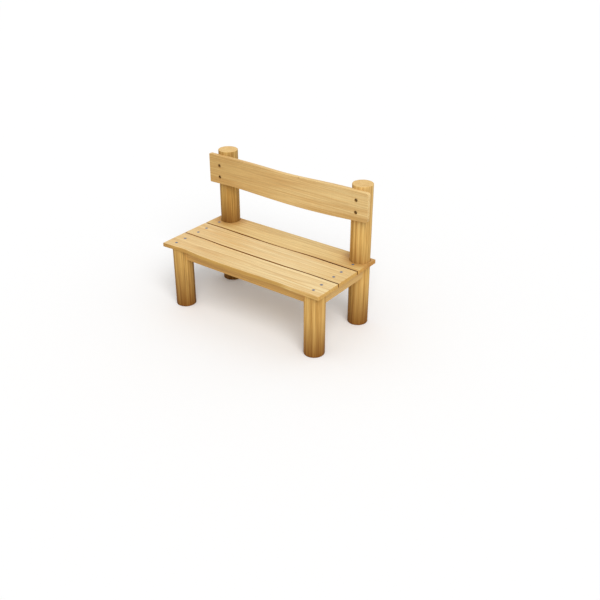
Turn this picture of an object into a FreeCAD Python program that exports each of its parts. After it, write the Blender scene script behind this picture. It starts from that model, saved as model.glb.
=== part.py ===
import FreeCAD, Part
import os

import Sketcher

# A garden bench made of peeled round posts and sawn boards, in millimetres.
# X runs along the seat, +Y towards the backrest, +Z up.
# The origin is on the ground, in the middle of the bench.

SIZES = {
    # Seat boards
    "plank_length": 1200,
    "plank_width": 194,
    "plank_thickness": 25,
    "plank_gap": 9,
    "seat_height": 430,
    "plank_chamfer": 1.5,
    # Natural front edge of the front plank: it bulges forward near its right end
    "front_bulge": 18,
    "bulge_length": 100,
    "bulge_corner": 28,
    "front_wave_outer_left": 2.4,
    "front_wave_left": 4.1,
    "front_wave_middle": -17,
    "front_wave_right": -4.5,
    "front_wave_outer_right": 1,
    # How far a wave runs straight on before it leaves a straight edge
    "wave_lead": 30,
    # Round posts
    "post_diameter": 128,
    "rear_post_height": 920,
    "post_end_margin": 19,
    "post_front_margin": 15,
    "rear_overhang": 14,
    "post_chamfer": 3,
    "notch_gap": 1,
    # Beams under the seat
    "frame_depth": 72,
    "bearer_width": 100,
    "rail_width": 55,
    "bearer_housing": 24,
    "rail_housing": 7,
    "beam_chamfer": 3,
    # Tenons on the beam ends, let into the posts
    "tenon_length": 32,
    "tenon_height": 44,
    "bearer_tenon_width": 60,
    "rail_tenon_width": 27,
    "rail_tenon_offset": 14,
    # Seat screws
    "screw_head": 16,
    "screw_diameter": 8,
    "screw_length": 55,
    "screw_out_left": 30,
    "screw_out_right": 5,
    "post_screw_offset": 21,
    "bearer_screw_offset": 18,
    "screw_spacing": 79,
    "notch_screw_offset": 20,
    # Backrest board
    "backrest_overhang": 7,
    "backrest_height": 188,
    "backrest_below_post_top": 23,
    "backrest_thickness": 25,
    "backrest_housing": 5,
    "backrest_left_corner": 6,
    "backrest_right_corner": 18,
    # The board's lower edge sinks towards its left end and rises towards its right end
    "backrest_left_drop": 4,
    "backrest_right_lift": 10,
    # Its upper edge is higher over the right post than over the left one
    "backrest_right_rise": 4.5,
    "top_wave_left": 0,
    "top_wave_middle": -11.5,
    "top_wave_right": -1.5,
    "bottom_wave_left": -5.6,
    "bottom_wave_middle": -12.8,
    "bottom_wave_right": -12.5,
    # Backrest bolts, screwed into the posts from recesses in the board
    "bolt_diameter": 8,
    "bolt_length": 80,
    "bolt_spacing": 76,
    "bolt_left_height": 44,
    "bolt_right_height": 58,
    "bolt_out_left": 5.5,
    "bolt_out_right": 9,
    "bolt_head_across": 13,
    "bolt_head_height": 6,
    "bolt_pocket": 20,
    "bolt_pocket_depth": 13,
    # Clearance between turned pieces and their bores, and past the end of a blind bore
    "fit_gap": 0.3,
    "bore_end_gap": 1,
}

# Places that several pieces share, worked out from the sizes
POST_RADIUS = "(Dims.post_diameter / 2)"
SEAT_DEPTH = "(3 * Dims.plank_width + 2 * Dims.plank_gap)"
SEAT_FRONT = f"((Dims.front_bulge - {SEAT_DEPTH} - Dims.rear_overhang) / 2)"
PLANK_PITCH = "(Dims.plank_width + Dims.plank_gap)"
PLANK_BOTTOM = "(Dims.seat_height - Dims.plank_thickness)"
FRAME_BOTTOM = f"({PLANK_BOTTOM} - Dims.frame_depth)"
POST_X = f"(Dims.plank_length / 2 - Dims.post_end_margin - {POST_RADIUS})"
FRONT_POST_Y = f"({SEAT_FRONT} + Dims.post_front_margin + {POST_RADIUS})"
REAR_POST_Y = f"({SEAT_FRONT} + {SEAT_DEPTH} + Dims.rear_overhang - {POST_RADIUS})"
BEARER_FLAT = f"({POST_RADIUS} - Dims.bearer_housing)"
RAIL_FLAT = f"({POST_RADIUS} - Dims.rail_housing)"
BEARER_LENGTH = f"({REAR_POST_Y} - {FRONT_POST_Y} - 2 * {BEARER_FLAT})"
RAIL_LENGTH = f"(2 * ({POST_X} - {RAIL_FLAT}))"
BACKREST_HALF = "(Dims.plank_length / 2 + Dims.backrest_overhang)"
BACKREST_TOP = "(Dims.rear_post_height - Dims.backrest_below_post_top)"
BACKREST_BOTTOM = f"({BACKREST_TOP} - Dims.backrest_height)"
BACKREST_FLAT = f"({POST_RADIUS} - Dims.backrest_housing)"
BACKREST_BACK = f"({REAR_POST_Y} - {BACKREST_FLAT})"
BACKREST_FRONT = f"({BACKREST_BACK} - Dims.backrest_thickness)"
BOLT_BORE = "(Dims.bolt_diameter + 2 * Dims.fit_gap)"
BOLT_SEAT = f"({BACKREST_FRONT} + Dims.bolt_pocket_depth)"
BOLT_IN_POST = f"({BOLT_SEAT} + Dims.bolt_length - {BACKREST_BACK})"
SCREW_BORE = "(Dims.screw_diameter + 2 * Dims.fit_gap)"
MORTISE_DEPTH = "(Dims.tenon_length + Dims.bore_end_gap)"
PILOT_DEPTH = "(Dims.screw_length - Dims.plank_thickness + Dims.bore_end_gap)"
# Half the free length of the backrest board, between the posts
BACKREST_REACH = f"({POST_X} - {POST_RADIUS})"

# Screw rows across the seat, from front to back, by the plank that they hold
SCREW_LEFT = f"(-{POST_X} - Dims.screw_out_left)"
SCREW_RIGHT = f"({POST_X} + Dims.screw_out_right)"
SEAT_MIDDLE = f"({SEAT_FRONT} + {SEAT_DEPTH} / 2)"
POST_ROW = f"({FRONT_POST_Y} - Dims.post_screw_offset)"
BEARER_ROW = f"({FRONT_POST_Y} + {BEARER_FLAT} + Dims.bearer_screw_offset)"
MIDDLE_ROWS = [
    f"({SEAT_MIDDLE} - Dims.screw_spacing / 2)",
    f"({SEAT_MIDDLE} + Dims.screw_spacing / 2)",
]
NOTCH_ROW = (
    f"({REAR_POST_Y} - {POST_RADIUS} - Dims.notch_gap - Dims.notch_screw_offset)"
)

document = FreeCAD.newDocument("TreeBench")
sheet = document.addObject("Spreadsheet::Sheet", "Dims")
for row, (alias, size) in enumerate(SIZES.items(), start=1):
    sheet.set(f"A{row}", alias)
    sheet.set(f"B{row}", str(size))
    sheet.setAlias(f"B{row}", alias)
document.recompute()

nodes = []


def value(expression):
    return float(sheet.evalExpression(expression))


def bind(item, path, expression):
    item.setExpression(path, str(expression))


# Bodies, sketches and features


def new_body(name, x="0", y="0", z="0"):
    body = document.addObject("PartDesign::Body", name)
    body.Label = name
    for axis, place in zip("xyz", (x, y, z)):
        bind(body, f".Placement.Base.{axis}", place)
    nodes.append(body)
    return body


def origin_feature(body, role):
    return next(item for item in body.Origin.OriginFeatures if item.Role == role)


def new_sketch(body, name, plane, offset="0"):
    """A sketch on one of the body's own planes, moved by offset along its normal."""
    sketch = body.newObject("Sketcher::SketchObject", f"{body.Name}_{name}")
    sketch.AttachmentSupport = [(origin_feature(body, plane), "")]
    sketch.MapMode = "FlatFace"
    bind(sketch, ".AttachmentOffset.Base.z", offset)
    return sketch


def dimension(sketch, geometry, vertex, x, y):
    """Ties a vertex to the sketch's origin, in both directions."""
    for kind, place in (("DistanceX", x), ("DistanceY", y)):
        rule = Sketcher.Constraint(kind, -1, 1, geometry, vertex, value(place))
        index = sketch.addConstraint(rule)
        bind(sketch, f"Constraints[{index}]", place)


def draw_circle(sketch, x, y, diameter):
    centre = FreeCAD.Vector(value(x), value(y), 0)
    up = FreeCAD.Vector(0, 0, 1)
    circle = sketch.addGeometry(Part.Circle(centre, up, value(diameter) / 2))
    dimension(sketch, circle, 3, x, y)
    rule = Sketcher.Constraint("Diameter", circle, value(diameter))
    index = sketch.addConstraint(rule)
    bind(sketch, f"Constraints[{index}]", diameter)


def draw_wave(sketch, poles):
    """A smooth edge whose control points are each dimensioned."""
    points = [FreeCAD.Vector(value(x), value(y), 0) for x, y in poles]
    sections = len(points) - 3
    knots = list(range(sections + 1))
    multiplicities = [4] + [1] * (sections - 1) + [4]
    curve = Part.BSplineCurve()
    curve.buildFromPolesMultsKnots(points, multiplicities, knots, False, 3)
    index = sketch.addGeometry(curve)
    first_pole = index + 1
    sketch.exposeInternalGeometry(index)
    for number in range(1, len(poles) - 1):
        dimension(sketch, first_pole + number, 3, *poles[number])
    return index


def draw_outline(sketch, corners, waves=None):
    """A closed outline: straight between corners, or a wave where one is given."""
    waves = waves or {}
    edges = []
    for number, start in enumerate(corners):
        end = corners[(number + 1) % len(corners)]
        if number in waves:
            edges.append(draw_wave(sketch, [start, *waves[number], end]))
            continue
        points = [FreeCAD.Vector(value(x), value(y), 0) for x, y in (start, end)]
        edges.append(sketch.addGeometry(Part.LineSegment(*points)))
    for number, edge in enumerate(edges):
        following = edges[(number + 1) % len(edges)]
        rule = Sketcher.Constraint("Coincident", edge, 2, following, 1)
        sketch.addConstraint(rule)
        dimension(sketch, edge, 1, *corners[number])


def draw_rectangle(sketch, low, high):
    corners = [low, (high[0], low[1]), high, (low[0], high[1])]
    draw_outline(sketch, corners)


def draw_hexagon(sketch, x, y, across):
    flat = f"({across} / 2)"
    point = f"({across} / sqrt(3))"
    corners = [
        (f"{x} + {point}", y),
        (f"{x} + {point} / 2", f"{y} + {flat}"),
        (f"{x} - {point} / 2", f"{y} + {flat}"),
        (f"{x} - {point}", y),
        (f"{x} - {point} / 2", f"{y} - {flat}"),
        (f"{x} + {point} / 2", f"{y} - {flat}"),
    ]
    draw_outline(sketch, corners)


def add_pad(body, sketch, length, backward=False):
    pad = body.newObject("PartDesign::Pad", f"{sketch.Name}_pad")
    pad.Profile = sketch
    bind(pad, "Length", length)
    pad.Reversed = backward
    document.recompute()
    return pad


def add_pocket(body, sketch, depth, backward=False):
    """Cuts the sketch into the body and makes sure that it took something away."""
    before = body.Shape.Volume
    pocket = body.newObject("PartDesign::Pocket", f"{sketch.Name}_pocket")
    pocket.Profile = sketch
    bind(pocket, "Length", depth)
    pocket.Reversed = backward
    document.recompute()
    if not body.Shape.Volume < before:
        raise RuntimeError(f"{pocket.Name} cuts nothing")
    return pocket


def add_bores(body, name, plane, offset, centres, diameter, depth):
    sketch = new_sketch(body, name, plane, offset)
    for x, y in centres:
        draw_circle(sketch, x, y, diameter)
    return add_pocket(body, sketch, depth)


def add_stepped_holes(body, name, plane, offset, centres, bore, cut, kind):
    """Through holes with a countersink or a flat-bottomed pocket at the sketch."""
    sketch = new_sketch(body, name, plane, offset)
    for x, y in centres:
        draw_circle(sketch, x, y, bore)
    document.recompute()
    before = body.Shape.Volume
    hole = body.newObject("PartDesign::Hole", f"{sketch.Name}_hole")
    hole.Profile = sketch
    document.recompute()
    hole.DepthType = "ThroughAll"
    hole.HoleCutType = kind
    hole.HoleCutCustomValues = True
    bind(hole, "Diameter", bore)
    bind(hole, "HoleCutDiameter", cut["diameter"])
    if kind == "Countersink":
        hole.HoleCutCountersinkAngle = 90
    else:
        bind(hole, "HoleCutDepth", cut["depth"])
    document.recompute()
    if not body.Shape.Volume < before:
        raise RuntimeError(f"{hole.Name} cuts nothing")
    return hole


def dress(body, kind, name, picked, size):
    """A fillet or chamfer on the edges or faces that the test picks."""
    base = body.Tip
    chosen = []
    for prefix, items in (("Edge", base.Shape.Edges), ("Face", base.Shape.Faces)):
        for number, item in enumerate(items, start=1):
            if picked(prefix, item):
                chosen.append(f"{prefix}{number}")
    feature = body.newObject(f"PartDesign::{kind}", f"{body.Name}_{name}")
    feature.Base = (base, chosen)
    bind(feature, "Radius" if kind == "Fillet" else "Size", size)
    document.recompute()
    return feature


def repeat(body, originals, spacing, second_axis=None, second_spacing=None):
    """Two copies along X or, with a second axis, two by two."""
    grid = body.newObject("PartDesign::LinearPattern", f"{body.Name}_grid")
    grid.Originals = originals
    grid.Direction = (origin_feature(body, "X_Axis"), [""])
    bind(grid, "Length", spacing)
    grid.Occurrences = 2
    if second_axis:
        grid.Direction2 = (origin_feature(body, second_axis), [""])
        bind(grid, "Length2", second_spacing)
        grid.Occurrences2 = 2
    body.Tip = grid
    document.recompute()
    return grid


def near(first, second):
    return abs(first - second) < 0.01


def spans(edge, axis):
    """Whether an edge is straight and runs along an axis, 0 to 2 for X to Z."""
    if edge.Curve.TypeId != "Part::GeomLine":
        return False
    direction = edge.Curve.Direction
    return near(abs(direction[axis]), 1)


def level_face(item, axis, place):
    """Whether a face is flat, square to an axis and at a place on it."""
    box = item.BoundBox
    low = (box.XMin, box.YMin, box.ZMin)[axis]
    high = (box.XMax, box.YMax, box.ZMax)[axis]
    return near(low, place) and near(high, place)


# Posts


def cut_housing(body, name, low, high):
    """A flat for a beam's end, as deep as the beam and level with its top."""
    sketch = new_sketch(body, f"{name}_housing", "XY_Plane", PLANK_BOTTOM)
    draw_rectangle(sketch, low, high)
    return add_pocket(body, sketch, "Dims.frame_depth")


def draw_tenon(sketch, centre, width, low, gap="0"):
    """A tenon's section, or its mortise's with a gap all round."""
    half = f"({width} / 2 + {gap})"
    start = f"({low} + (Dims.frame_depth - Dims.tenon_height) / 2)"
    draw_rectangle(
        sketch,
        (f"{centre} - {half}", f"{start} - {gap}"),
        (f"{centre} + {half}", f"{start} + Dims.tenon_height + {gap}"),
    )


def cut_mortise(body, name, plane, offset, centre, width, backward):
    sketch = new_sketch(body, f"{name}_mortise", plane, offset)
    draw_tenon(sketch, centre, width, FRAME_BOTTOM, "Dims.fit_gap")
    return add_pocket(body, sketch, MORTISE_DEPTH, backward)


def add_tenons(body, plane, ends, centre, width):
    """Tenons on both ends of a beam. ends gives each sketch's offset and direction."""
    for name, offset, backward in ends:
        sketch = new_sketch(body, f"{name}_tenon", plane, offset)
        draw_tenon(sketch, centre, width, "0")
        add_pad(body, sketch, "Dims.tenon_length", backward)


def make_post(name, side, front):
    """side is -1 at the left and 1 at the right. Local X and Y start at the axis."""
    height = PLANK_BOTTOM if front else "Dims.rear_post_height"
    place = FRONT_POST_Y if front else REAR_POST_Y
    body = new_body(name, f"{side} * {POST_X}", place)
    log = new_sketch(body, "log", "XY_Plane")
    draw_circle(log, "0", "0", "Dims.post_diameter")
    add_pad(body, log, height)
    top = value(height)
    dress(
        body,
        "Chamfer",
        "end_chamfers",
        lambda kind, item: kind == "Face"
        and (level_face(item, 2, 0) or (level_face(item, 2, top) and not front)),
        "Dims.post_chamfer",
    )
    clear = "Dims.post_diameter"
    toward_bearer = 1 if front else -1
    if front:
        cut_housing(body, "bearer", (f"-{clear}", BEARER_FLAT), (clear, clear))
    else:
        cut_housing(
            body, "bearer", (f"-{clear}", f"-{clear}"), (clear, f"-{BEARER_FLAT}")
        )
    if side < 0:
        cut_housing(body, "rail", (RAIL_FLAT, f"-{clear}"), (clear, clear))
    else:
        cut_housing(
            body, "rail", (f"-{clear}", f"-{clear}"), (f"-{RAIL_FLAT}", clear)
        )
    cut_mortise(
        body,
        "bearer",
        "XZ_Plane",
        f"{-toward_bearer} * {BEARER_FLAT}",
        "0",
        "Dims.bearer_tenon_width",
        backward=front,
    )
    cut_mortise(
        body,
        "rail",
        "YZ_Plane",
        f"{-side} * {RAIL_FLAT}",
        f"{-toward_bearer} * Dims.rail_tenon_offset",
        "Dims.rail_tenon_width",
        backward=side > 0,
    )
    if front:
        screw_out = "Dims.screw_out_left" if side < 0 else "Dims.screw_out_right"
        add_bores(
            body,
            "screw",
            "XY_Plane",
            PLANK_BOTTOM,
            [(f"{side} * {screw_out}", "-Dims.post_screw_offset")],
            SCREW_BORE,
            PILOT_DEPTH,
        )
    else:
        cut_backrest_seat(body, side)
    return body


def lower_edge(side, x):
    """The height of the backrest board's lower edge at a place x over a post."""
    change = "Dims.backrest_left_drop" if side < 0 else "Dims.backrest_right_lift"
    slope = f"({change} / ({BACKREST_HALF} - {BACKREST_REACH}))"
    return f"({slope} * ({x} - {side} * {BACKREST_REACH}))"


def upper_edge(side):
    """The height of the backrest board's upper edge over a post."""
    if side < 0:
        return "Dims.backrest_height"
    return "(Dims.backrest_height + Dims.backrest_right_rise)"


def bolt_places(side):
    """The places of a post's two bolts on the backrest board."""
    name = "left" if side < 0 else "right"
    x = f"({side} * ({POST_X} + Dims.bolt_out_{name}))"
    lower = f"Dims.bolt_{name}_height"
    return [(x, lower), (x, f"({lower} + Dims.bolt_spacing)")]


def cut_backrest_seat(body, side):
    """The flat behind the backrest board and the bores for its bolts."""
    seat = new_sketch(body, "backrest_housing", "XZ_Plane", BACKREST_FLAT)
    ends = (f"-{POST_RADIUS}", POST_RADIUS)
    axis = f"({side} * {POST_X})"
    high = f"{BACKREST_BOTTOM} + {upper_edge(side)}"
    corners = []
    for end in ends:
        low = lower_edge(side, f"({axis} + {end})")
        corners.append((end, f"{BACKREST_BOTTOM} + {low}"))
    corners += [(end, high) for end in reversed(ends)]
    draw_outline(seat, corners)
    add_pocket(body, seat, POST_RADIUS, backward=True)
    centres = [(f"{x} - {axis}", f"{BACKREST_BOTTOM} + {z}") for x, z in bolt_places(side)]
    depth = f"{BOLT_IN_POST} + Dims.bore_end_gap"
    add_bores(body, "bolts", "XZ_Plane", BACKREST_FLAT, centres, BOLT_BORE, depth)


# Beams under the seat


def make_bearer(name, side):
    """A beam from the front post to the rear post. Local Y starts at its front end."""
    body = new_body(
        name,
        f"{side} * {POST_X}",
        f"{FRONT_POST_Y} + {BEARER_FLAT}",
        FRAME_BOTTOM,
    )
    section = new_sketch(body, "section", "XZ_Plane")
    half = "(Dims.bearer_width / 2)"
    draw_rectangle(section, (f"-{half}", "0"), (half, "Dims.frame_depth"))
    add_pad(body, section, BEARER_LENGTH, backward=True)
    dress(
        body,
        "Chamfer",
        "chamfers",
        lambda kind, item: kind == "Edge" and spans(item, 1),
        "Dims.beam_chamfer",
    )
    ends = [("front", "0", False), ("rear", f"-{BEARER_LENGTH}", True)]
    add_tenons(body, "XZ_Plane", ends, "0", "Dims.bearer_tenon_width")
    screw_out = "Dims.screw_out_left" if side < 0 else "Dims.screw_out_right"
    start = f"({FRONT_POST_Y} + {BEARER_FLAT})"
    rows = [BEARER_ROW, *MIDDLE_ROWS, NOTCH_ROW]
    add_bores(
        body,
        "screws",
        "XY_Plane",
        "Dims.frame_depth",
        [(f"{side} * {screw_out}", f"{row} - {start}") for row in rows],
        SCREW_BORE,
        PILOT_DEPTH,
    )
    return body


def make_rail(name, place, tenon_row):
    """A beam between two posts of one row. Local X starts at its left end."""
    body = new_body(name, f"-{RAIL_LENGTH} / 2", place, FRAME_BOTTOM)
    section = new_sketch(body, "section", "YZ_Plane")
    half = "(Dims.rail_width / 2)"
    draw_rectangle(section, (f"-{half}", "0"), (half, "Dims.frame_depth"))
    add_pad(body, section, RAIL_LENGTH)
    dress(
        body,
        "Chamfer",
        "chamfers",
        lambda kind, item: kind == "Edge" and spans(item, 0),
        "Dims.beam_chamfer",
    )
    ends = [("left", "0", True), ("right", RAIL_LENGTH, False)]
    add_tenons(body, "YZ_Plane", ends, tenon_row, "Dims.rail_tenon_width")
    return body


# Seat planks


def start_plank(name, number):
    """Local Y starts at the plank's front edge, and Z at its underside."""
    place = f"({SEAT_FRONT} + {number} * {PLANK_PITCH})"
    return new_body(name, "0", place, PLANK_BOTTOM), place


def chamfer_top(body):
    """Takes the sharpness off the edges of a plank's top face."""
    top = value("Dims.plank_thickness")
    dress(
        body,
        "Chamfer",
        "top_chamfer",
        lambda kind, item: kind == "Face" and level_face(item, 2, top),
        "Dims.plank_chamfer",
    )


def add_screw_holes(body, place, rows):
    centres = [(x, f"{row} - {place}") for row in rows for x in (SCREW_LEFT, SCREW_RIGHT)]
    add_stepped_holes(
        body,
        "screw_holes",
        "XY_Plane",
        "Dims.plank_thickness",
        centres,
        SCREW_BORE,
        {"diameter": "(Dims.screw_head + 2 * Dims.fit_gap)"},
        "Countersink",
    )


def upright_edge(x, y):
    """A test for the upright edge at a corner of the plank's outline."""

    def picked(kind, item):
        if kind != "Edge" or not spans(item, 2):
            return False
        point = item.Vertexes[0].Point
        return near(point.x, x) and near(point.y, y)

    return picked


def make_front_plank():
    body, place = start_plank("front_plank", 0)
    half = "(Dims.plank_length / 2)"
    wave_start = f"(-{half} + Dims.wave_lead)"
    bulge_start = f"({half} - Dims.bulge_length)"
    outline = new_sketch(body, "outline", "XY_Plane")
    corners = [
        (f"-{half}", "0"),
        (wave_start, "0"),
        (bulge_start, "-Dims.front_bulge"),
        (half, "-Dims.front_bulge"),
        (half, "Dims.plank_width"),
        (f"-{half}", "Dims.plank_width"),
    ]
    names = ("outer_left", "left", "middle", "right", "outer_right")
    wave = [
        (f"-{half} + {number} * Dims.plank_length / 6", f"Dims.front_wave_{name}")
        for number, name in enumerate(names, start=1)
    ]
    wave.insert(0, (f"{wave_start} + Dims.wave_lead", "0"))
    wave.append((f"{bulge_start} - Dims.wave_lead", "-Dims.front_bulge"))
    draw_outline(outline, corners, {1: wave})
    add_pad(body, outline, "Dims.plank_thickness")
    corner = upright_edge(value(half), -value("Dims.front_bulge"))
    dress(body, "Fillet", "bulge_corner", corner, "Dims.bulge_corner")
    chamfer_top(body)
    add_screw_holes(body, place, [POST_ROW, BEARER_ROW])
    return body


def start_straight_plank(name, number):
    body, place = start_plank(name, number)
    half = "(Dims.plank_length / 2)"
    outline = new_sketch(body, "outline", "XY_Plane")
    draw_rectangle(outline, (f"-{half}", "0"), (half, "Dims.plank_width"))
    add_pad(body, outline, "Dims.plank_thickness")
    chamfer_top(body)
    return body, place


def make_middle_plank():
    body, place = start_straight_plank("middle_plank", 1)
    add_screw_holes(body, place, MIDDLE_ROWS)
    return body


def make_rear_plank():
    """The rear plank is notched round both rear posts, open at its rear edge."""
    body, place = start_straight_plank("rear_plank", 2)
    add_bores(
        body,
        "notches",
        "XY_Plane",
        "Dims.plank_thickness",
        [(f"{side} * {POST_X}", f"{REAR_POST_Y} - {place}") for side in (-1, 1)],
        "(Dims.post_diameter + 2 * Dims.notch_gap)",
        "Dims.plank_thickness",
    )
    add_screw_holes(body, place, [NOTCH_ROW])
    return body


def make_screws(name, rows):
    """Countersunk screws, flush with the seat. Local Z starts at the head's top."""
    body = new_body(name, SCREW_LEFT, rows[0], "Dims.seat_height")
    profile = new_sketch(body, "profile", "XZ_Plane")
    head = "(Dims.screw_head / 2)"
    shank = "(Dims.screw_diameter / 2)"
    corners = [
        ("0", "0"),
        (head, "0"),
        (shank, f"{shank} - {head}"),
        (shank, "-Dims.screw_length"),
        ("0", "-Dims.screw_length"),
    ]
    draw_outline(profile, corners)
    turned = body.newObject("PartDesign::Revolution", f"{name}_turned")
    turned.Profile = profile
    turned.ReferenceAxis = (profile, ["V_Axis"])
    turned.Angle = 360
    spacing = f"({SCREW_RIGHT} - {SCREW_LEFT})"
    if len(rows) == 2:
        repeat(body, [turned], spacing, "Y_Axis", f"{rows[1]} - {rows[0]}")
    else:
        repeat(body, [turned], spacing)
    return body


# Backrest


def make_backrest_board():
    """A board with natural edges, straight over the posts and wavy between them."""
    body = new_body("backrest_board", "0", BACKREST_FRONT, BACKREST_BOTTOM)
    half = BACKREST_HALF
    reach = BACKREST_REACH
    left_top = upper_edge(-1)
    right_top = upper_edge(1)
    corners = [
        (f"-{half}", lower_edge(-1, f"(-{half})")),
        (f"-{reach}", "0"),
        (reach, "0"),
        (half, lower_edge(1, half)),
        (half, right_top),
        (reach, right_top),
        (f"-{reach}", left_top),
        (f"-{half}", left_top),
    ]
    lead = f"({reach} - 2 * Dims.wave_lead)"
    bottom_wave = [
        (f"-{lead}", lower_edge(-1, f"(-{lead})")),
        (f"-{reach} / 2", "Dims.bottom_wave_left"),
        ("0", "Dims.bottom_wave_middle"),
        (f"{reach} / 2", "Dims.bottom_wave_right"),
        (lead, lower_edge(1, lead)),
    ]
    top_wave = [
        (lead, right_top),
        (f"{reach} / 2", f"{left_top} + Dims.top_wave_right"),
        ("0", f"{left_top} + Dims.top_wave_middle"),
        (f"-{reach} / 2", f"{left_top} + Dims.top_wave_left"),
        (f"-{lead}", left_top),
    ]
    outline = new_sketch(body, "outline", "XZ_Plane")
    draw_outline(outline, corners, {1: bottom_wave, 5: top_wave})
    add_pad(body, outline, "Dims.backrest_thickness", backward=True)
    for name, end in (("left", -value(half)), ("right", value(half))):
        dress(
            body,
            "Fillet",
            f"{name}_corners",
            lambda kind, item, end=end: kind == "Edge"
            and spans(item, 1)
            and near(item.Vertexes[0].Point.x, end),
            f"Dims.backrest_{name}_corner",
        )
    dress(
        body,
        "Chamfer",
        "front_chamfer",
        lambda kind, item: kind == "Face" and level_face(item, 1, 0),
        "Dims.plank_chamfer",
    )
    add_stepped_holes(
        body,
        "bolt_holes",
        "XZ_Plane",
        "0",
        bolt_places(-1) + bolt_places(1),
        BOLT_BORE,
        {"diameter": "Dims.bolt_pocket", "depth": "Dims.bolt_pocket_depth"},
        "Counterbore",
    )
    return body


def make_bolts():
    """Hexagon wood screws. Local Y starts under the heads and runs along the shanks."""
    body = new_body("backrest_bolts", "0", BOLT_SEAT, BACKREST_BOTTOM)
    heads = new_sketch(body, "heads", "XZ_Plane")
    shanks = new_sketch(body, "shanks", "XZ_Plane")
    for x, z in bolt_places(-1) + bolt_places(1):
        draw_hexagon(heads, x, z, "Dims.bolt_head_across")
        draw_circle(shanks, x, z, "Dims.bolt_diameter")
    add_pad(body, heads, "Dims.bolt_head_height")
    add_pad(body, shanks, "Dims.bolt_length", backward=True)
    return body


make_post("front_left_post", -1, front=True)
make_post("front_right_post", 1, front=True)
make_post("rear_left_post", -1, front=False)
make_post("rear_right_post", 1, front=False)
make_bearer("left_bearer", -1)
make_bearer("right_bearer", 1)
make_rail("front_rail", FRONT_POST_Y, "-Dims.rail_tenon_offset")
make_rail("rear_rail", REAR_POST_Y, "Dims.rail_tenon_offset")
make_front_plank()
make_middle_plank()
make_rear_plank()
make_screws("front_plank_screws", [POST_ROW, BEARER_ROW])
make_screws("middle_plank_screws", MIDDLE_ROWS)
make_screws("rear_plank_screws", [NOTCH_ROW])
make_backrest_board()
make_bolts()

document.recompute()

# Every object is sound before anything is written
for item in document.Objects:
    if "Invalid" in item.State or "Error" in item.State:
        raise RuntimeError(f"{item.Name} failed: {item.State}")
for body in nodes:
    if body.Shape.isNull() or not body.Shape.isValid():
        raise RuntimeError(f"{body.Label} has no valid shape")

os.makedirs("parts", exist_ok=True)
for body in nodes:
    body.Shape.exportStep(f"parts/{body.Label}.step")
    print(f"{body.Label}: {len(body.Shape.Solids)} solids, {body.Shape.Volume:.0f} mm3")
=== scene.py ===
import math

import bpy
from mathutils import Matrix, Vector, geometry, noise


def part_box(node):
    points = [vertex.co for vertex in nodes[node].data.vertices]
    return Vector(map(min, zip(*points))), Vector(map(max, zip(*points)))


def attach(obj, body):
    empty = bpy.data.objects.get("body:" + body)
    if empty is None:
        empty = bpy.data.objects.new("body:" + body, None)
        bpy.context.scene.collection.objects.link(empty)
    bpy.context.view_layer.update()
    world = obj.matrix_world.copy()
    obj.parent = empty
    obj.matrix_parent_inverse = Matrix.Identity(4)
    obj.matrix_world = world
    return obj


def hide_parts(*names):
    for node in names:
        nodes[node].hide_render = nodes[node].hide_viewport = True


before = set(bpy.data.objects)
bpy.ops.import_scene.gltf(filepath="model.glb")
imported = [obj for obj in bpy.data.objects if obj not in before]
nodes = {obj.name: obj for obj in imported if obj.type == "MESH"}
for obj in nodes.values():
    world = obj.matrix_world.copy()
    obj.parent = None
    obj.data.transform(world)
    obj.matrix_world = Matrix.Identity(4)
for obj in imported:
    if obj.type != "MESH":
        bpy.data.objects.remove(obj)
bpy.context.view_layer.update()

# Meshes are worked out in mm and scaled by this. Lengths and places in materials are in metres.
MM = 0.001

# Sizes of the solids that meshes and materials share, in mm.
POST_RADIUS = 64.0
POST_X = 517.0
REAR_POST_Y = 252.0
PLANK_BOTTOM = 405.0
SEAT_TOP = 430.0


# Materials

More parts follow.
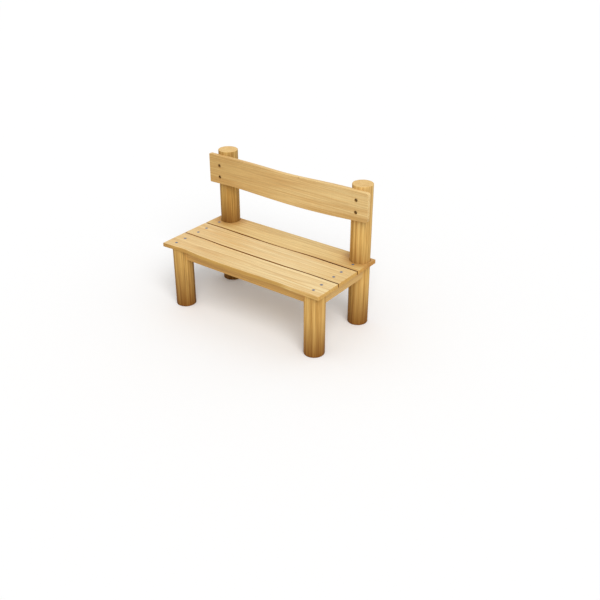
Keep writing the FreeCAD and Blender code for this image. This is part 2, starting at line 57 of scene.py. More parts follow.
class Graph:
    """Builds the nodes of one material around its Principled shader."""

    def __init__(self, name):
        self.material = bpy.data.materials.new(name)
        self.material.use_nodes = True
        self.tree = self.material.node_tree
        self.shader = self.tree.nodes["Principled BSDF"]

    def put(self, node, key, value):
        """Links a node's input to a socket, or sets it to a plain value."""
        socket = node.inputs[key]
        if isinstance(value, bpy.types.NodeSocket):
            self.tree.links.new(value, socket)
        else:
            socket.default_value = value

    def add(self, kind, inputs, out=0, **settings):
        """One of the outputs of a new node with these inputs and settings."""
        node = self.tree.nodes.new(kind)
        for key, value in settings.items():
            setattr(node, key, value)
        for key, value in inputs.items():
            self.put(node, key, value)
        return node.outputs[out]

    def math(self, operation, a, b=0.0):
        return self.add("ShaderNodeMath", {0: a, 1: b}, operation=operation)

    def times(self, a, b):
        return self.math("MULTIPLY", a, b)

    def plus(self, a, b):
        return self.math("ADD", a, b)

    def hypot(self, a, b):
        return self.math("SQRT", self.plus(self.times(a, a), self.times(b, b)))

    def combine(self, x, y, z):
        return self.add("ShaderNodeCombineXYZ", {0: x, 1: y, 2: z})

    def split(self, vector):
        node = self.tree.nodes.new("ShaderNodeSeparateXYZ")
        self.put(node, 0, vector)
        return node.outputs[0], node.outputs[1], node.outputs[2]

    def scaled(self, vector, factor):
        return self.add("ShaderNodeVectorMath", {0: vector, 3: factor}, operation="SCALE")

    def span(self, value, low, high, at_low=0.0, at_high=1.0):
        """A smooth step from at_low to at_high as the value goes from low to high."""
        inputs = {0: value, 1: low, 2: high, 3: at_low, 4: at_high}
        return self.add("ShaderNodeMapRange", inputs, interpolation_type="SMOOTHSTEP")

    def fade(self, value, low, high, at_low):
        """A straight slope from at_low down to 0 as the value goes from low to high."""
        return self.add("ShaderNodeMapRange", {0: value, 1: low, 2: high, 3: at_low, 4: 0.0})

    def noise(self, vector, detail=2.0, roughness=0.5, out=0):
        inputs = {"Vector": vector, "Scale": 1.0, "Detail": detail, "Roughness": roughness}
        return self.add("ShaderNodeTexNoise", inputs, out)

    def mix(self, factor, a, b, blend="MIX"):
        """Colour b blended over colour a, as far as the factor goes."""
        node = self.tree.nodes.new("ShaderNodeMix")
        node.data_type = "RGBA"
        node.blend_type = blend
        self.put(node, 0, factor)
        for key, value in ((6, a), (7, b)):
            if isinstance(value, tuple):
                value = value + (1.0,)
            self.put(node, key, value)
        return node.outputs[2]

    def curve(self, value, stops):
        """A grey ramp through (position, height) stops."""
        node = self.tree.nodes.new("ShaderNodeValToRGB")
        self.put(node, 0, value)
        ramp = node.color_ramp
        while len(ramp.elements) < len(stops):
            ramp.elements.new(0.5)
        for element, (position, height) in zip(ramp.elements, stops):
            element.position = position
            element.color = (height, height, height, 1.0)
        return node.outputs[0]


def srgb(red, green, blue):
    """A colour given as 0-255 screen values, as a linear one."""
    def linear(value):
        value /= 255.0
        if value <= 0.04045:
            return value / 12.92
        return ((value + 0.055) / 1.055) ** 2.4
    return (linear(red), linear(green), linear(blue))


# In the functions below, g is the Graph of a material.

# The axis along the grain, and the two across it.
AXES = {"x": (0, 1, 2), "y": (1, 0, 2), "z": (2, 0, 1)}

# How dark a year's ring is from its inner to its outer side, as (share of its width, darkness).
YEAR = ((0.0, 0.05), (0.5, 0.2), (0.86, 1.0), (1.0, 0.05))

# In metres: the width of a year's ring, how far the pith line sways both ways across the grain, and how far
# the rings ripple.
BOARD_RING = 0.0055
POST_RING = 0.0042
SWAY = (0.034, 0.022)
RIPPLE = 0.005

# A knot is longer along the grain, where distances to it count for less.
KNOT_SHARE = 0.6

LATE_TINT = (0.50, 0.30, 0.14)
WORN_TINT = (1.25, 1.3, 1.35)
KNOT_COLOUR = srgb(140, 90, 44)
# A dark brown for damp wood, and for painted shade.
DAMP_AND_SHADE_TINT = (0.36, 0.24, 0.11)
SCREW_TINT = (0.40, 0.49, 0.80)

# The steps of the stain round the screws, and of the painted shade in the bolts' recesses with a stain ring
# round them, as near_fasteners takes them.
SCREW_STAIN = ((0.0125, 0.0085, 0.7),)
BOLT_SHADE_AND_STAIN = ((0.0108, 0.0101, 0.9), (0.017, 0.010, 0.25))

# The backrest board's seed, which its saw marks share.
BACKREST_SEED = 21.4


def grain(g, along, pith, ring, seed, knot=None):
    """The solid pattern of a tree: rings round a pith line that runs along one axis, streaks and fibres.
    A knot is (its middle, its half height)."""
    place = g.split(g.add("ShaderNodeTexCoord", {}, "Object"))
    u, v, w = (place[axis] for axis in AXES[along])
    v = g.plus(v, -pith[0])
    w = g.plus(w, -pith[1])

    def stretched(length, width):
        """The place, scaled so that a noise cell is that long and wide, in metres."""
        return g.combine(
            g.plus(g.times(u, 1 / length), seed),
            g.times(v, 1 / width),
            g.times(w, 1 / width),
        )

    drift = g.split(g.noise(stretched(1.1, 0.2), 2.0, out=1))
    bent_v = g.plus(v, g.times(g.plus(drift[0], -0.5), SWAY[0]))
    bent_w = g.plus(w, g.times(g.plus(drift[1], -0.5), SWAY[1]))
    radius = g.hypot(bent_v, bent_w)
    ripple = g.noise(stretched(0.22, 0.03), 2.0)
    radius = g.plus(radius, g.times(g.plus(ripple, -0.5), RIPPLE))
    spot = None
    if knot:
        middle, size = knot
        squares = 0.0
        for axis in range(3):
            share = KNOT_SHARE if axis == AXES[along][0] else 1.0
            step = g.times(g.plus(place[axis], -middle[axis]), share / size)
            squares = g.plus(g.times(step, step), squares)
        # In half heights of the knot. It pushes the rings round it outwards.
        distance = g.math("SQRT", squares)
        radius = g.plus(radius, g.span(distance, 0.6, 3.2, size * 0.5, 0.0))
        spot = g.span(distance, 0.4, 1.1, 1.0, 0.0)
    years = g.times(radius, 1.0 / ring)
    late = g.curve(g.math("FRACT", years), YEAR)
    weight = g.add("ShaderNodeTexWhiteNoise", {"W": g.math("FLOOR", years)}, noise_dimensions="1D")
    late = g.times(late, g.span(weight, 0.0, 1.0, 0.35, 1.0))
    return {
        "place": place,
        "late": late,
        "fibre": g.noise(stretched(0.045, 0.0011), 3.0, 0.6),
        "streak": g.noise(stretched(0.5, 0.013), 3.0, 0.62),
        "line": g.noise(stretched(0.35, 0.006), 2.0, 0.55),
        "tone": g.noise(stretched(0.6, 0.12), 2.0),
        "knot": spot,
    }


def worn_edges(g, width):
    """1 on a piece's edges and 0 on its faces, from the geometry alone."""
    soft = g.add("ShaderNodeBevel", {"Radius": width}, samples=6)
    hard = g.add("ShaderNodeNewGeometry", {}, "Normal")
    same = g.add("ShaderNodeVectorMath", {0: soft, 1: hard}, "Value", operation="DOT_PRODUCT")
    return g.span(same, 0.985, 0.86)


def facing(g, axis):
    """How far a face looks along an axis, from -1 to 1."""
    normal = g.split(g.add("ShaderNodeNewGeometry", {}, "True Normal"))
    return normal[axis]


def tinted(g, factor, colour, tint):
    """The colour multiplied by a tint, as far as the factor goes."""
    return g.mix(factor, colour, g.mix(1.0, colour, tint, "MULTIPLY"))


def finish_wood(g, pattern, colour, ring_depth, rough, sheen):
    """Rings, fibres, knots, worn edges and relief over a base colour."""
    late = g.times(pattern["late"], ring_depth)
    colour = tinted(g, late, colour, LATE_TINT)
    fibre = g.span(pattern["fibre"], 0.3, 0.7, 0.90, 1.08)
    fibre = g.times(fibre, g.span(pattern["line"], 0.3, 0.7, 0.93, 1.05))
    colour = g.mix(1.0, colour, g.combine(fibre, fibre, fibre), "MULTIPLY")
    edge = g.times(worn_edges(g, 0.004), g.span(pattern["streak"], 0.35, 0.6, 0.1, 0.4))
    colour = tinted(g, edge, colour, WORN_TINT)
    if pattern["knot"] is not None:
        colour = g.mix(g.times(pattern["knot"], 0.4), colour, KNOT_COLOUR)
    g.put(g.shader, "Base Color", colour)
    roughness = g.span(pattern["streak"], 0.3, 0.7, rough - 0.07, rough + 0.07)
    g.put(g.shader, "Roughness", g.plus(roughness, g.times(late, 0.15)))
    g.put(g.shader, "Specular IOR Level", sheen)
    relief = g.plus(g.times(pattern["fibre"], 0.5), g.times(pattern["late"], 0.5))
    bump = g.add("ShaderNodeBump", {"Height": relief, "Strength": 0.35, "Distance": 0.0006})
    g.put(g.shader, "Normal", bump)
    return g.material


def near_fasteners(g, place, centres, axis, steps):
    """How dark the wood is round fasteners that point along an axis: stained round the screws, and painted
    shade with a stain ring round the bolts. A step is (radius where it starts, radius where it is full,
    strength)."""
    across = [i for i in range(3) if i != axis]
    total = None
    for centre in centres:
        distance = g.hypot(*(g.plus(place[i], -centre[i]) for i in across))
        for outer, inner, strength in steps:
            stain = g.span(distance, outer, inner, 0.0, strength)
            total = stain if total is None else g.math("MAXIMUM", total, stain)
    return total


def with_gap_shade(g, place, colour, gap):
    """The faces in the gaps between planks get painted shade, the more so on the right. They look to the rear
    (1), to the front (-1) or both ways (0)."""
    look = facing(g, 1)
    look = g.math("ABSOLUTE", look) if gap == 0 else g.times(look, float(gap))
    gap_shade = g.span(look, 0.4, 0.75)
    colour = tinted(g, gap_shade, colour, (0.52, 0.35, 0.16))
    return tinted(g, g.times(gap_shade, g.span(place[0], 0.15, 0.5)), colour, (0.62, 0.52, 0.38))


def front_edge_tones_and_shade(g, place, colour):
    """The front plank's natural edge is paler near its right end and darker at its left end. The plank's top
    has a band of painted shade along the pale stretch, as of a more rounded edge."""
    front = g.span(facing(g, 1), -0.3, -0.8)
    pale = g.times(g.span(place[0], 0.30, 0.40), g.span(place[0], 0.50, 0.56, 1.0, 0.6))
    colour = tinted(g, g.times(front, pale), colour, (1.32, 1.52, 2.25))
    colour = tinted(g, g.times(front, g.span(place[0], -0.46, -0.60)), colour, (0.86, 0.81, 0.76))
    # Painted shade along the top's front edge.
    rim = g.times(g.span(place[1], -0.262, -0.290), g.span(place[0], 0.34, 0.46))
    return tinted(g, rim, colour, (0.94, 0.87, 0.76))


def shade_round_rear_posts(g, place, colour):
    """The rear plank has painted shade round the rear posts."""
    x = g.plus(g.math("ABSOLUTE", place[0]), -POST_X * MM)
    y = g.plus(place[1], -REAR_POST_Y * MM)
    near = g.span(g.hypot(x, y), 0.15, 0.06)
    return tinted(g, near, colour, (0.74, 0.62, 0.48))


def backrest_marks_and_shade(g, place, colour):
    """The backrest board has pale upright saw marks on the right half, painted shade along its lower edge
    there, and painted shade in the bolts' recesses with a faint stain ring round them."""
    saw = g.noise(g.combine(g.times(place[0], 190.0), BACKREST_SEED, g.times(place[2], 7.0)), 2.0)
    share = g.times(g.span(place[0], -0.1, 0.35), g.span(saw, 0.5, 0.72, 0.0, 0.5))
    colour = tinted(g, share, colour, (1.08, 1.10, 1.14))
    # The board's lower edge rises to the right, and the band of painted shade with it.
    level = g.plus(place[2], g.times(place[0], -0.05))
    lower = g.times(g.span(level, 0.722, 0.706), g.span(place[0], -0.10, 0.34))
    colour = tinted(g, lower, colour, (0.84, 0.77, 0.66))
    # Painted shade in the bolts' recesses, and a faint stain ring round them.
    stain = near_fasteners(g, place, solid_centres("backrest_bolts", 1), 1, BOLT_SHADE_AND_STAIN)
    return tinted(g, stain, colour, DAMP_AND_SHADE_TINT)


def board_wood(name, pith, seed, light, dark, along="x", side=None, end=None, left=None, left_on_top=1.0,
               right=None, gap=None, knot=None, screws=None, marks=None):
    """Planed or sawn board with painted shade on its sides, a tint on its ends, painted shade towards its
    left and its right end, stained round its screws. The painted shade on the left can be weaker on top, gap
    says which faces in the gaps get painted shade, and marks is one of the functions above, which add marks
    and painted shade."""
    g = Graph(name)
    pattern = grain(g, along, pith, BOARD_RING, seed, knot)
    place = pattern["place"]
    colour = g.mix(g.span(pattern["streak"], 0.32, 0.68), dark, light)
    colour = g.mix(g.span(pattern["tone"], 0.35, 0.7, 0.0, 0.35), colour, light)
    # Painted shade, deeper towards the left.
    if left:
        share = g.span(place[0], 0.35, -0.62)
        if left_on_top < 1.0:
            share = g.times(share, g.span(facing(g, 2), 0.5, 0.9, 1.0, left_on_top))
        colour = tinted(g, share, colour, left)
    # Painted shade towards the right end.
    if right:
        colour = tinted(g, g.span(place[0], 0.2, 0.5), colour, right)
    # Painted shade on the faces that don't look up.
    if side:
        share = g.span(g.math("ABSOLUTE", facing(g, 2)), 0.95, 0.5)
        colour = tinted(g, share, colour, side)
    if end:
        share = g.span(g.math("ABSOLUTE", facing(g, AXES[along][0])), 0.6, 0.9)
        colour = tinted(g, share, colour, end)
    if gap is not None:
        colour = with_gap_shade(g, place, colour, gap)
    if screws:
        stain = near_fasteners(g, place, solid_centres(screws, 2), 2, SCREW_STAIN)
        colour = tinted(g, stain, colour, SCREW_TINT)
    if marks:
        colour = marks(g, place, colour)
    return finish_wood(g, pattern, colour, ring_depth=0.33, rough=0.55, sheen=0.35)


def post_wood(name, centre, seed, tint, left, rear, foot, band=None):
    """Peeled round timber: soft lengthwise bands, streaks, painted light and shade on the sides that look to
    the left and to the rear, a bleached upper end, a sawn top and a foot that is darker up to some height,
    with damp and with painted shade near the ground. A rear post also has a band of painted shade above the
    seat: (reach, strength, share of it on the right)."""
    g = Graph(name)
    pith = (centre[0] + 0.009, centre[1] - 0.006)
    pattern = grain(g, "z", pith, POST_RING, seed)
    x, y, z = pattern["place"]
    lengthwise = g.combine(g.times(x, 64.0), g.times(y, 64.0), g.plus(g.times(z, 1.3), seed))
    bands = g.noise(lengthwise, 3.0, 0.65)
    colour = g.mix(g.span(bands, 0.34, 0.66), srgb(198, 150, 80), srgb(232, 189, 114))
    colour = g.mix(g.span(pattern["streak"], 0.28, 0.42, 0.5, 0.0), colour, srgb(160, 108, 50))
    colour = g.mix(1.0, colour, tint, "MULTIPLY")
    # Painted light and shade on the sides that look to the left and to the rear.
    colour = tinted(g, g.span(facing(g, 0), 0.1, -0.45), colour, left)
    colour = tinted(g, g.span(facing(g, 1), -0.05, 0.45), colour, rear)
    colour = tinted(g, g.span(z, 0.60, 0.76), colour, (1.01, 1.06, 1.23))
    # The saw's marks on the top run at a slant to the bench.
    along_cut = g.times(g.plus(x, g.times(y, 0.55)), 26.0)
    across_cut = g.times(g.plus(y, g.times(x, -0.55)), 160.0)
    saw = g.noise(g.combine(along_cut, across_cut, seed), 2.0)
    sawn = g.mix(g.span(saw, 0.35, 0.65), srgb(229, 189, 124), srgb(243, 207, 142))
    colour = g.mix(g.span(facing(g, 2), 0.6, 0.9), colour, sawn)
    # The dark parts end unevenly, along the streaks.
    height = g.plus(z, g.times(g.plus(pattern["streak"], -0.5), 0.10))
    # Darker towards the foot: damp, and painted shade near the ground.
    colour = tinted(g, g.fade(height, 0.0, foot, 1.0), colour, DAMP_AND_SHADE_TINT)
    # Painted shade on a rear post just above the seat, at its front and sides, less on its right and its
    # left.
    if band:
        reach, strength, on_right = band
        seat = SEAT_TOP * MM
        dark = g.fade(height, seat, seat + reach, strength)
        dark = g.times(dark, g.span(z, seat - 0.002, seat))
        dark = g.times(dark, g.span(y, 0.300, 0.255))
        dark = g.times(dark, g.span(facing(g, 0), 0.55, 0.95, 1.0, on_right))
        dark = g.times(dark, g.span(facing(g, 0), -0.45, -0.2, 0.55, 1.0))
        colour = tinted(g, dark, colour, DAMP_AND_SHADE_TINT)
    return finish_wood(g, pattern, colour, ring_depth=0.36, rough=0.66, sheen=0.15)


def steel(name, tint, metallic):
    """Zinc-plated steel with a film that dulls it, brushed marks and lighter clouds. The bolts are darker
    still, which paints the shade in their recesses.
    """
    g = Graph(name)
    place = g.add("ShaderNodeTexCoord", {}, "Object")
    marks = g.noise(g.scaled(place, 900.0), 4.0, 0.6)
    clouds = g.noise(g.scaled(place, 160.0), 2.0)
    darker = tuple(0.72 * c for c in tint)
    lighter = tuple(min(1.0, 1.5 * c) for c in tint)
    colour = g.mix(g.span(marks, 0.3, 0.7), darker, tint)
    colour = g.mix(g.span(clouds, 0.4, 0.65, 0.0, 0.25), colour, lighter)
    g.put(g.shader, "Base Color", colour)
    g.put(g.shader, "Metallic", metallic)
    g.put(g.shader, "Roughness", g.span(marks, 0.3, 0.7, 0.3, 0.5))
    bump = g.add("ShaderNodeBump", {"Height": marks, "Strength": 0.3, "Distance": 0.0001})
    g.put(g.shader, "Normal", bump)
    return g.material


def give(piece, material):
    """Makes the material the only one of a piece."""
    piece.data.materials.clear()
    piece.data.materials.append(material)


# Mesh pieces

def build(name, vertices, faces, crease=30):
    """A smooth-shaded mesh object in the row frame, on which edges sharper than the crease angle, in degrees,
    stay sharp."""
    mesh = bpy.data.meshes.new(name)
    mesh.from_pydata(vertices, [], faces)
    mesh.update()
    mesh.polygons.foreach_set("use_smooth", [True] * len(mesh.polygons))
    mesh.set_sharp_from_angle(angle=math.radians(crease))
    piece = bpy.data.objects.new(name, mesh)
    bpy.context.scene.collection.objects.link(piece)
    return piece


def skin(rings, closed=True):
    """Vertices and faces of rings of equal length, joined in order. If closed, one point caps each end."""
    count = len(rings[0])
    vertices = [point for ring in rings for point in ring]
    faces = []
    for level in range(len(rings) - 1):
        low = level * count
        high = low + count
        for i in range(count):
            j = (i + 1) % count
            faces.append((low + i, low + j, high + j, high + i))
    if not closed:
        return vertices, faces
    last = len(vertices) - count
    for ring, start in ((rings[0], 0), (rings[-1], last)):
        middle = sum((Vector(point) for point in ring), Vector()) / count
        vertices.append(tuple(middle))
        hub = len(vertices) - 1
        for i in range(count):
            j = (i + 1) % count
            if start == 0:
                faces.append((j, i, hub))
            else:
                faces.append((start + i, start + j, hub))
    return vertices, faces


def merged(parts):
    """One vertex and face list from several."""
    vertices, faces = [], []
    for part_vertices, part_faces in parts:
        shift = len(vertices)
        vertices += part_vertices
        faces += [tuple(i + shift for i in face) for face in part_faces]
    return vertices, faces


def lathe(profile, sides, at, turn, wobble=None):
    """Rings round an axis from (radius, height) pairs in mm. Height 0 is at the given point, in metres, and
    the turn maps the local +Z axis to the axis' direction. The wobble adds to the radius."""
    rings = []
    for index, (radius, height) in enumerate(profile):
        ring = []
        for i in range(sides):
            angle = 2 * math.pi * i / sides
            r = radius + (wobble(index, angle, height) if wobble else 0.0)
            local = Vector((r * math.cos(angle), r * math.sin(angle), height)) * MM
            ring.append(tuple(turn @ local + Vector(at)))
        rings.append(ring)
    return rings


def rounded(steps=4):
    """Points of a quarter circle from its upright side to its top, as (out, up) from its middle in radii."""
    turns = [math.pi / 2 * step / steps for step in range(steps + 1)]
    return [(math.cos(turn), math.sin(turn)) for turn in turns]


def solid_centres(name, axis):
    """The middle of each separate solid in a CAD node, moved along the given axis to the top (z) or the
    front (y) of the solid."""
    mesh = nodes[name].data
    parent = list(range(len(mesh.vertices)))

    def root(i):
        while parent[i] != i:
            parent[i] = parent[parent[i]]
            i = parent[i]
        return i

    seen = {}
    for i, vertex in enumerate(mesh.vertices):
        key = tuple(round(c, 5) for c in vertex.co)
        if key in seen:
            parent[root(i)] = root(seen[key])
        else:
            seen[key] = i
    for edge in mesh.edges:
        a, b = edge.vertices
        parent[root(a)] = root(b)
    groups = {}
    for i, vertex in enumerate(mesh.vertices):
        groups.setdefault(root(i), []).append(vertex.co)
    centres = []
    for points in groups.values():
        low = Vector([min(p[k] for p in points) for k in range(3)])
        high = Vector([max(p[k] for p in points) for k in range(3)])
        middle = (low + high) / 2
        middle[axis] = high[axis] if axis == 2 else low[axis]
        centres.append(middle)
    return sorted(centres, key=lambda centre: tuple(round(c, 4) for c in centre))


# Posts

# In mm: the radius of a log's rounded rims, the height from ring to ring, how far a ring stays off an edge of
# the backrest's seat, and the length over which a crack tapers.
RIM = 3.5
RING_HEIGHT = 14
OFF_EDGE = 0.15
TAPER = 60.0

# The number of sides of a log without cracks, and the points across a crack in half widths from its middle.
LOG_SIDES = 84
CRACK_POINTS = (-1.25, -1.0, -0.55, 0.0, 0.55, 1.0, 1.25)

# The rings that close a log's end, as shares of its radius.
END_SHARES = (0.8, 0.55, 0.3, 0.1)


def turn_between(a, b):
    """The angle between two directions, from 0 to pi."""
    return abs((a - b + math.pi) % (2 * math.pi) - math.pi)


def log_angles(cracks):
    """Angles round a log, close together at each crack."""
    angles = [2 * math.pi * i / LOG_SIDES for i in range(LOG_SIDES)]
    for angle, _, _, width, _ in cracks:
        half = width / 2 / POST_RADIUS
        angles = [a for a in angles if turn_between(a, angle) > half * 1.6]
        angles += [(angle + half * point) % (2 * math.pi) for point in CRACK_POINTS]
    return sorted(angles)


def log_heights(top, seat):
    """The heights of a log's rings, each with how far it is set in. They are close together at the rounded
    rims and at the backrest's seat."""
    heights = []
    for out, up in rounded():
        heights.append((RIM * (1 - up), RIM * (1 - out)))
        heights.append((top - RIM + RIM * up, RIM * (1 - out)))
    body = int((top - 2 * RIM) / RING_HEIGHT)
    heights += [(RIM + (top - 2 * RIM) * i / body, 0.0) for i in range(1, body)]
    if seat:
        _, (_, left_z), (_, right_z), seat_top = seat
        heights += [(seat_top - OFF_EDGE, 0.0), (seat_top + OFF_EDGE, 0.0)]
        start = min(left_z, right_z)
        steps = int(abs(right_z - left_z)) + 1
        heights += [(start + step - OFF_EDGE, 0.0) for step in range(steps + 2)]
    return sorted(heights)


def log_radius(angle, z, seed, full):
    """A log's radius at a place: its uneven girth, shallow peeled flats and fine unevenness."""
    around = Vector((math.cos(angle), math.sin(angle), 0.0))
    girth = noise.noise(around * 0.9 + Vector((seed, 0.0, z / 500.0)))
    flats = noise.noise(around * 3.4 + Vector((0.0, seed, z / 700.0)))
    fine = noise.noise(around * 11.0 + Vector((seed, seed, z / 160.0)))
    return min(full - 0.45 + 0.45 * girth + 0.5 * flats + 0.22 * fine, full)


def crack_depth(angle, z, cracks, full, top):
    """How deep a log's cracks are at a place. They taper at both ends, but not at the log's top."""
    def tapered(length):
        return max(0.0, min(1.0, length / TAPER))

    deepest = 0.0
    for at, first, last, width, depth in cracks:
        away = turn_between(angle, at) * full
        if away < width / 2 * 1.01:
            share = tapered(z - first) * (tapered(last - z) if last < top else 1.0)
            deepest = max(deepest, depth * share * (1 - away / (width / 2)))
    return deepest


def end_rings(outer, angles, centre, full):
    """Smaller and smaller rings that close an end of a log. Where a crack takes more than a tenth of the
    outer ring's radius, they are narrower too."""
    rings = []
    for share in END_SHARES:
        ring = []
        for angle, point in zip(angles, outer):
            reach = math.hypot(point[0] / MM - centre[0], point[1] / MM - centre[1]) / full
            radius = full * share * (min(reach, 0.9) / 0.9)
            x = centre[0] + radius * math.cos(angle)
            y = centre[1] + radius * math.sin(angle)
            ring.append((x * MM, y * MM, point[2]))
        rings.append(ring)
    return rings


def make_log(name, seed, cracks, seat=None):
    """A peeled log in the place of a post: uneven girth, shallow peeled flats, rounded rims and drying
    cracks. A crack is (angle, lowest z, highest z, width, depth) in radians and mm. The seat of the backrest
    board is (y, (x, z) of its lower edge at the left, the same at the right, highest z) in mm."""
    low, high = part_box(name)
    centre = ((low.x + high.x) / 2 / MM, (low.y + high.y) / 2 / MM)
    top = high.z / MM
    full = (high.x - low.x) / 2 / MM
    if seat:
        seat_y, (left, left_z), (right, right_z), seat_top = seat
        slope = (right_z - left_z) / (right - left)
    angles = log_angles(cracks)
    rings = []
    for z, inset in log_heights(top, seat):
        twist = 0.05 * noise.noise(Vector((z / 300.0, seed, 0.0)))
        twist += 0.012 * noise.noise(Vector((z / 60.0, seed, 4.0)))
        ring = []
        for angle in angles:
            radius = log_radius(angle, z, seed, full) - inset - crack_depth(angle, z, cracks, full, top)
            x = centre[0] + radius * math.cos(angle + twist)
            y = centre[1] + radius * math.sin(angle + twist)
            if seat and left_z + slope * (x - left) <= z <= seat_top:
                y = max(y, seat_y)
            ring.append((x * MM, y * MM, z * MM))
        rings.append(ring)
    bottom = end_rings(rings[0], angles, centre, full)
    rings = bottom[::-1] + rings + end_rings(rings[-1], angles, centre, full)
    vertices, faces = skin(rings)
    piece = build(name + "_log", vertices, faces, crease=35)
    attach(piece, "root")
    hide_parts(name)
    return piece, (centre[0] * MM, centre[1] * MM)


# What make_log and post_wood take for each post, as they name it.
LOGS = {
    "front_left_post": dict(
        seed=1.7,
        cracks=[(-0.75, 150.0, 405.0, 1.6, 7.0), (-2.1, 40.0, 250.0, 1.3, 5.0)],
    ),
    "front_right_post": dict(
        seed=5.2,
        cracks=[(-1.22, 205.0, 405.0, 2.2, 10.0), (0.55, 60.0, 230.0, 1.4, 5.0)],
    ),
    "rear_left_post": dict(
        seed=8.9,
        cracks=[(-0.62, 470.0, 640.0, 1.4, 6.0), (1.3, 500.0, 920.0, 2.4, 12.0)],
        seat=(193.0, (-581.0, 705.7), (-453.0, 709.0), 897.0),
    ),
    "rear_right_post": dict(
        seed=12.4,
        cracks=[(-1.75, 440.0, 560.0, 1.5, 6.0), (1.9, 430.0, 920.0, 2.6, 12.0)],
        seat=(193.0, (453.0, 709.0), (581.0, 717.3), 901.5),
    ),
}
# left and rear are painted light and shade on the sides of a post that look that way, foot is how high its
# foot is darker, and band is the painted shade above the seat.
POST_LOOKS = {
    "front_left_post": dict(
        tint=(0.97, 0.97, 0.93), left=(0.84, 0.80, 0.72), rear=(0.62, 0.58, 0.48), foot=0.30,
    ),
    "front_right_post": dict(
        tint=(1.05, 1.05, 1.03), left=(1.17, 1.15, 1.10), rear=(0.92, 0.92, 0.88), foot=0.27,
    ),
    "rear_left_post": dict(
        tint=(0.83, 0.83, 0.75), left=(1.0, 1.0, 0.96), rear=(1.0, 1.0, 1.0), foot=0.30,
        band=(0.19, 0.90, 0.84),
    ),
    "rear_right_post": dict(
        tint=(1.05, 1.06, 1.04), left=(0.88, 0.86, 0.80), rear=(1.0, 1.0, 1.0), foot=0.30,
        band=(0.15, 0.62, 0.45),
    ),
}
for post, log in LOGS.items():
    piece, centre = make_log(post, **log)
    give(piece, post_wood(post + "_wood", centre, log["seed"], **POST_LOOKS[post]))

# Seat planks

# All in mm: the planks' ends, the lines of the natural front edge and of the rear edge, the rounded corner at
# the front right, and the radius of a sawn top edge.
LEFT_END = -614.0
RIGHT_END = 595.0
FRONT_LINE = -293.0
REAR_LINE = 306.5
CORNER = 14.0
SAWN = 1.5

# The natural edge's bumps, as (x of the middle, width, how far they go to the rear).
BUMPS = ((-135.0, 260.0, -4.2), (-448.0, 94.0, 11.4), (325.0, 146.0, 5.7))

# The planks aren't quite straight, so the gaps between them wander. A gap is a row of (x, y of its middle,
# width).
FRONT_GAP = (
    (-614.0, -92.0, 8.0), (-460.0, -92.0, 8.5), (-250.0, -99.5, 11.0), (0.0, -100.5, 12.0),
    (150.0, -99.0, 11.5), (390.0, -93.0, 8.5), (595.0, -94.5, 8.5),
)
REAR_GAP = (
    (-614.0, 108.0, 8.0), (-440.0, 109.0, 9.5), (-290.0, 105.0, 14.0), (-70.0, 101.0, 9.0),
    (60.0, 103.0, 6.5), (250.0, 109.8, 12.0), (430.0, 106.5, 12.0), (595.0, 104.5, 9.0),
)

# The rear plank's notches leave 1 mm round the posts.
NOTCH_RADIUS = 65.0
NOTCH_SIDES = 40

# A screw hole as (radius, height below the plank's top), and the sides of its circle.
HOLE = ((8.3, 0.0), (4.3, -4.0), (4.3, PLANK_BOTTOM - SEAT_TOP))
HOLE_SIDES = 24


def gap_edge(gap, side):
    """An edge of a gap from left to right, at its front (-1) or rear (1)."""
    steps = 6
    points = []
    for before, after in zip(gap, gap[1:]):
        for i in range(steps):
            eased = (1 - math.cos(math.pi * i / steps)) / 2
            x = before[0] + (after[0] - before[0]) * i / steps
            middle, width = (a + (b - a) * eased for a, b in zip(before[1:], after[1:]))
            points.append((x, middle + side * width / 2, SAWN))
    x, middle, width = gap[-1]
    points.append((x, middle + side * width / 2, SAWN))
    return points


def front_edge():
    """The natural edge from left to right and round the corner, softer than a sawn edge."""
    steps = 120
    points = []
    for i in range(steps + 1):
        x = LEFT_END + (RIGHT_END - CORNER - LEFT_END) * i / steps
        bumps = sum(depth * math.exp(-(((x - at) / width) ** 2)) for at, width, depth in BUMPS)
        waves = 0.7 * noise.noise(Vector((x / 45.0, 3.0, 0.0)))
        waves += 0.25 * noise.noise(Vector((x / 12.0, 5.0, 0.0)))
        soft = 4.5 + 1.5 * noise.noise(Vector((x / 70.0, 8.0, 0.0)))
        points.append((x, FRONT_LINE + bumps + waves, soft))
    x, y, soft = points[-1]
    corner_steps = 8
    for i in range(1, corner_steps + 1):
        turn = math.pi / 2 * i / corner_steps
        around = (x + CORNER * math.sin(turn), y + CORNER * (1 - math.cos(turn)))
        points.append((*around, soft + (SAWN - soft) * i / corner_steps))
    return points


def notch(middle):
    """The rear plank's cut-out round a rear post, from its right to its left."""
    half = math.asin((REAR_LINE - REAR_POST_Y) / NOTCH_RADIUS)
    sweep = math.pi + 2 * half
    angles = [half - sweep * i / NOTCH_SIDES for i in range(NOTCH_SIDES + 1)]
    return [
        (middle + NOTCH_RADIUS * math.cos(angle), REAR_POST_Y + NOTCH_RADIUS * math.sin(angle), SAWN)
        for angle in angles
    ]


